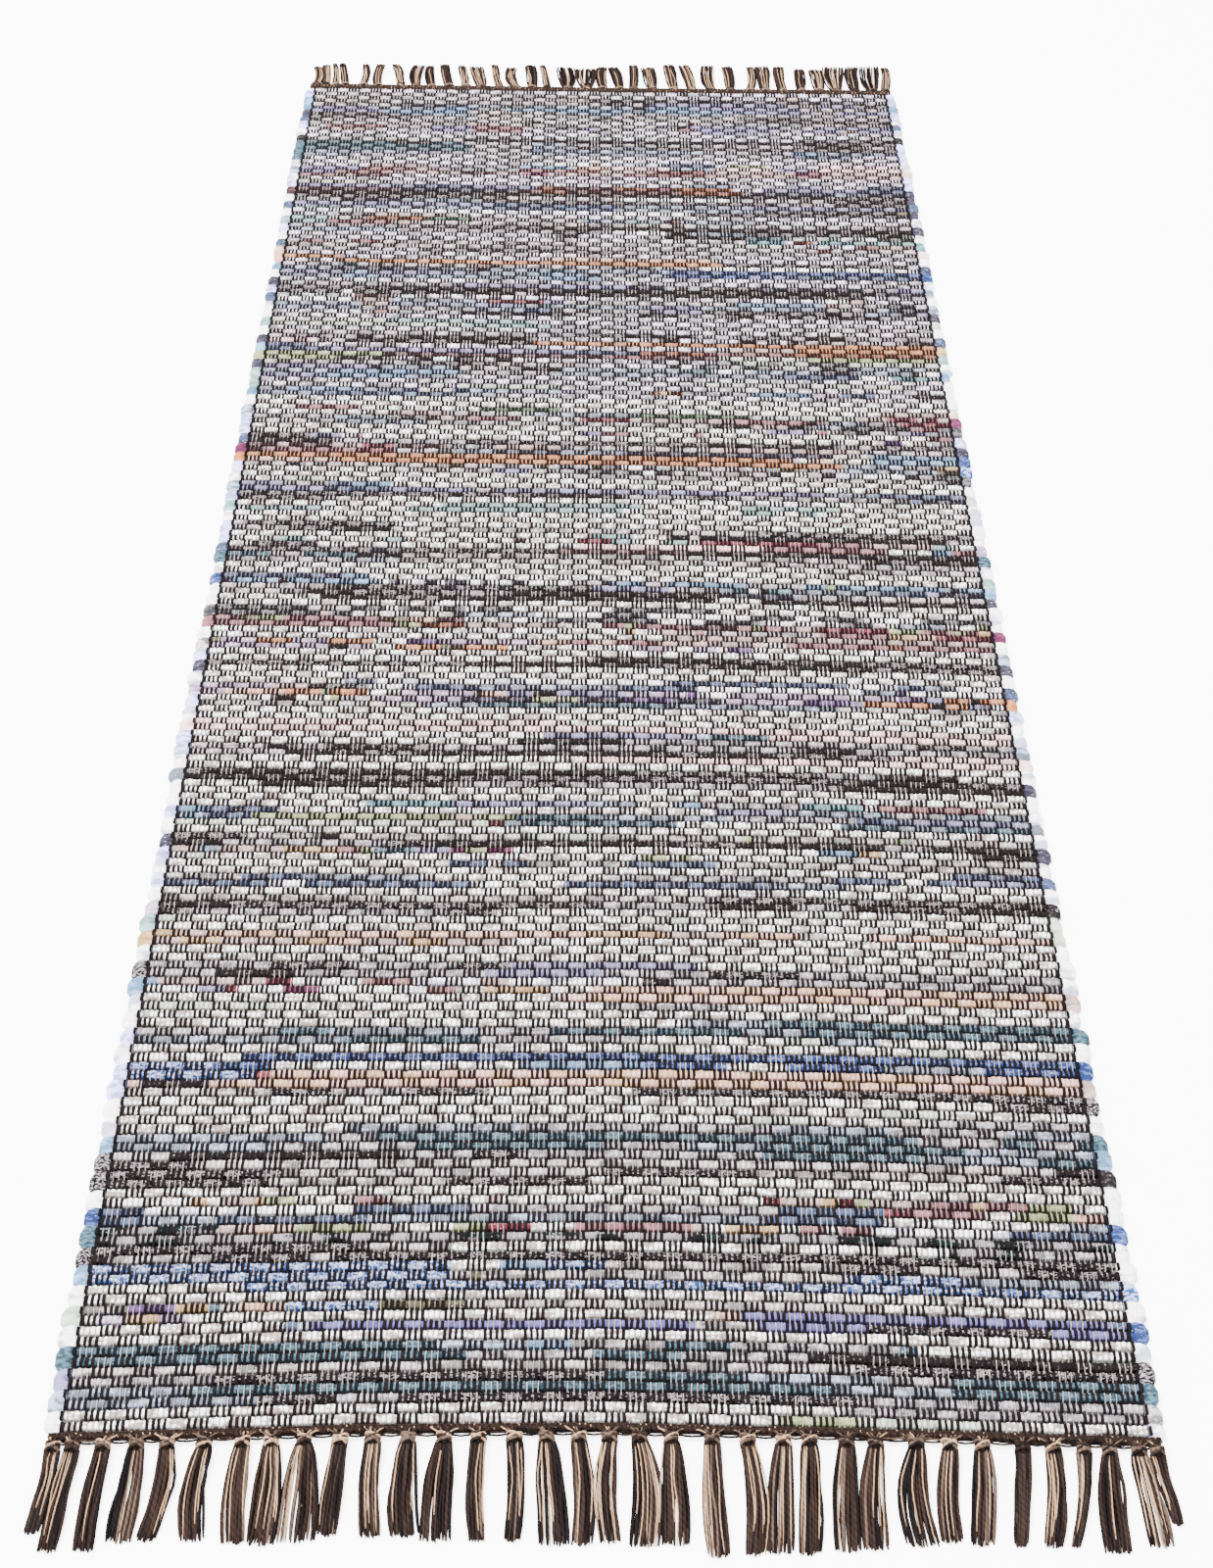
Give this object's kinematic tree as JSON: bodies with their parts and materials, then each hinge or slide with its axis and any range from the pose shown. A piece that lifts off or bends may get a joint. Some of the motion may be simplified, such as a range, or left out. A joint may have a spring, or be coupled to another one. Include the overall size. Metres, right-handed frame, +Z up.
{
  "type": "rag rug",
  "caption": "Flat-woven cotton rag rug: a long runner with thin mixed stripes, looped selvages and a knotted brown yarn fringe at both ends.",
  "frame": {"origin": "on the floor, under the middle of the rug's outline", "axes": "+Y along the length towards the far fringe, +X across the width, +Z up from the floor"},
  "size_m": [0.704, 2.176, 0.0076],
  "materials": {
    "rag_weave": "matte woven cotton rags in mixed colours with brown and beige warp yarn",
    "warp_yarn": "matte twisted cotton yarn, dark brown with some beige"
  },
  "bodies": {
    "root": {"woven_field": "rag_weave", "fringe_near": "warp_yarn", "fringe_far": "warp_yarn"}
  },
  "joints": []
}
